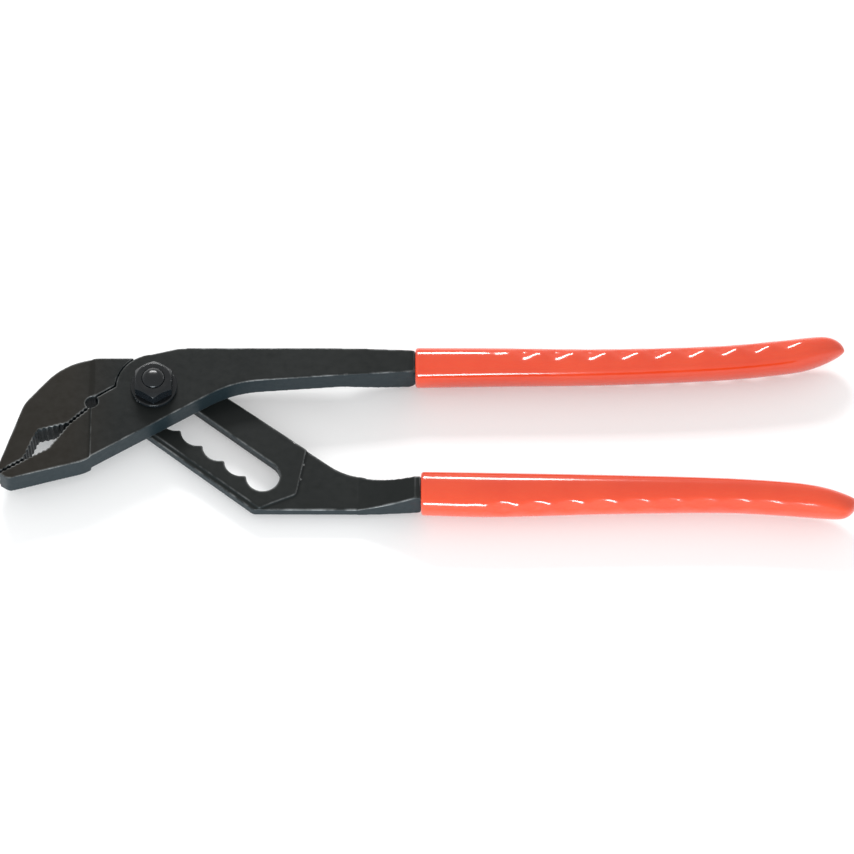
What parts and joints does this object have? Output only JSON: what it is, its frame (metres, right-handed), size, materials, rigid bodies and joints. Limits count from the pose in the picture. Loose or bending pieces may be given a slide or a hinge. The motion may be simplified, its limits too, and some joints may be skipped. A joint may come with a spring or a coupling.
{
  "type": "water pump pliers",
  "caption": "Adjustable water pump pliers with toothed offset jaws, a scalloped slot in the rear lever for the pivot bolt, and dipped grips.",
  "frame": {"origin": "foot of the pivot axis on the surface that the pliers lie on, at the centre of the bolt head's flat underside", "axes": "+X along the handles away from the jaws, +Y from the lower handle to the upper one, +Z along the pivot axis towards the nut"},
  "size_m": [0.3009, 0.0709, 0.0255],
  "materials": {
    "black_steel": "satin black oxide on forged steel",
    "black_hardware": "glossy black oxide on turned steel",
    "red_pvc": "glossy dipped PVC"
  },
  "bodies": {
    "rear_half": {"rear_lever": "black_steel", "lower_grip": "red_pvc"},
    "pivot": {"pivot_bolt": "black_hardware", "pivot_washer": "black_hardware", "pivot_nut": "black_hardware"},
    "front_half": {"front_lever": "black_steel", "upper_grip": "red_pvc"}
  },
  "joints": [
    {"name": "jaw_adjust", "type": "slide", "parent": "rear_half", "child": "pivot", "axis": [0.7902, -0.6129, 0], "range_m": [0, 0.049]},
    {"name": "lever_pivot", "type": "hinge", "parent": "pivot", "child": "front_half", "pos_m": [0, 0, 0.012], "axis": [0, 0, 1], "range_deg": [0, 32]}
  ]
}
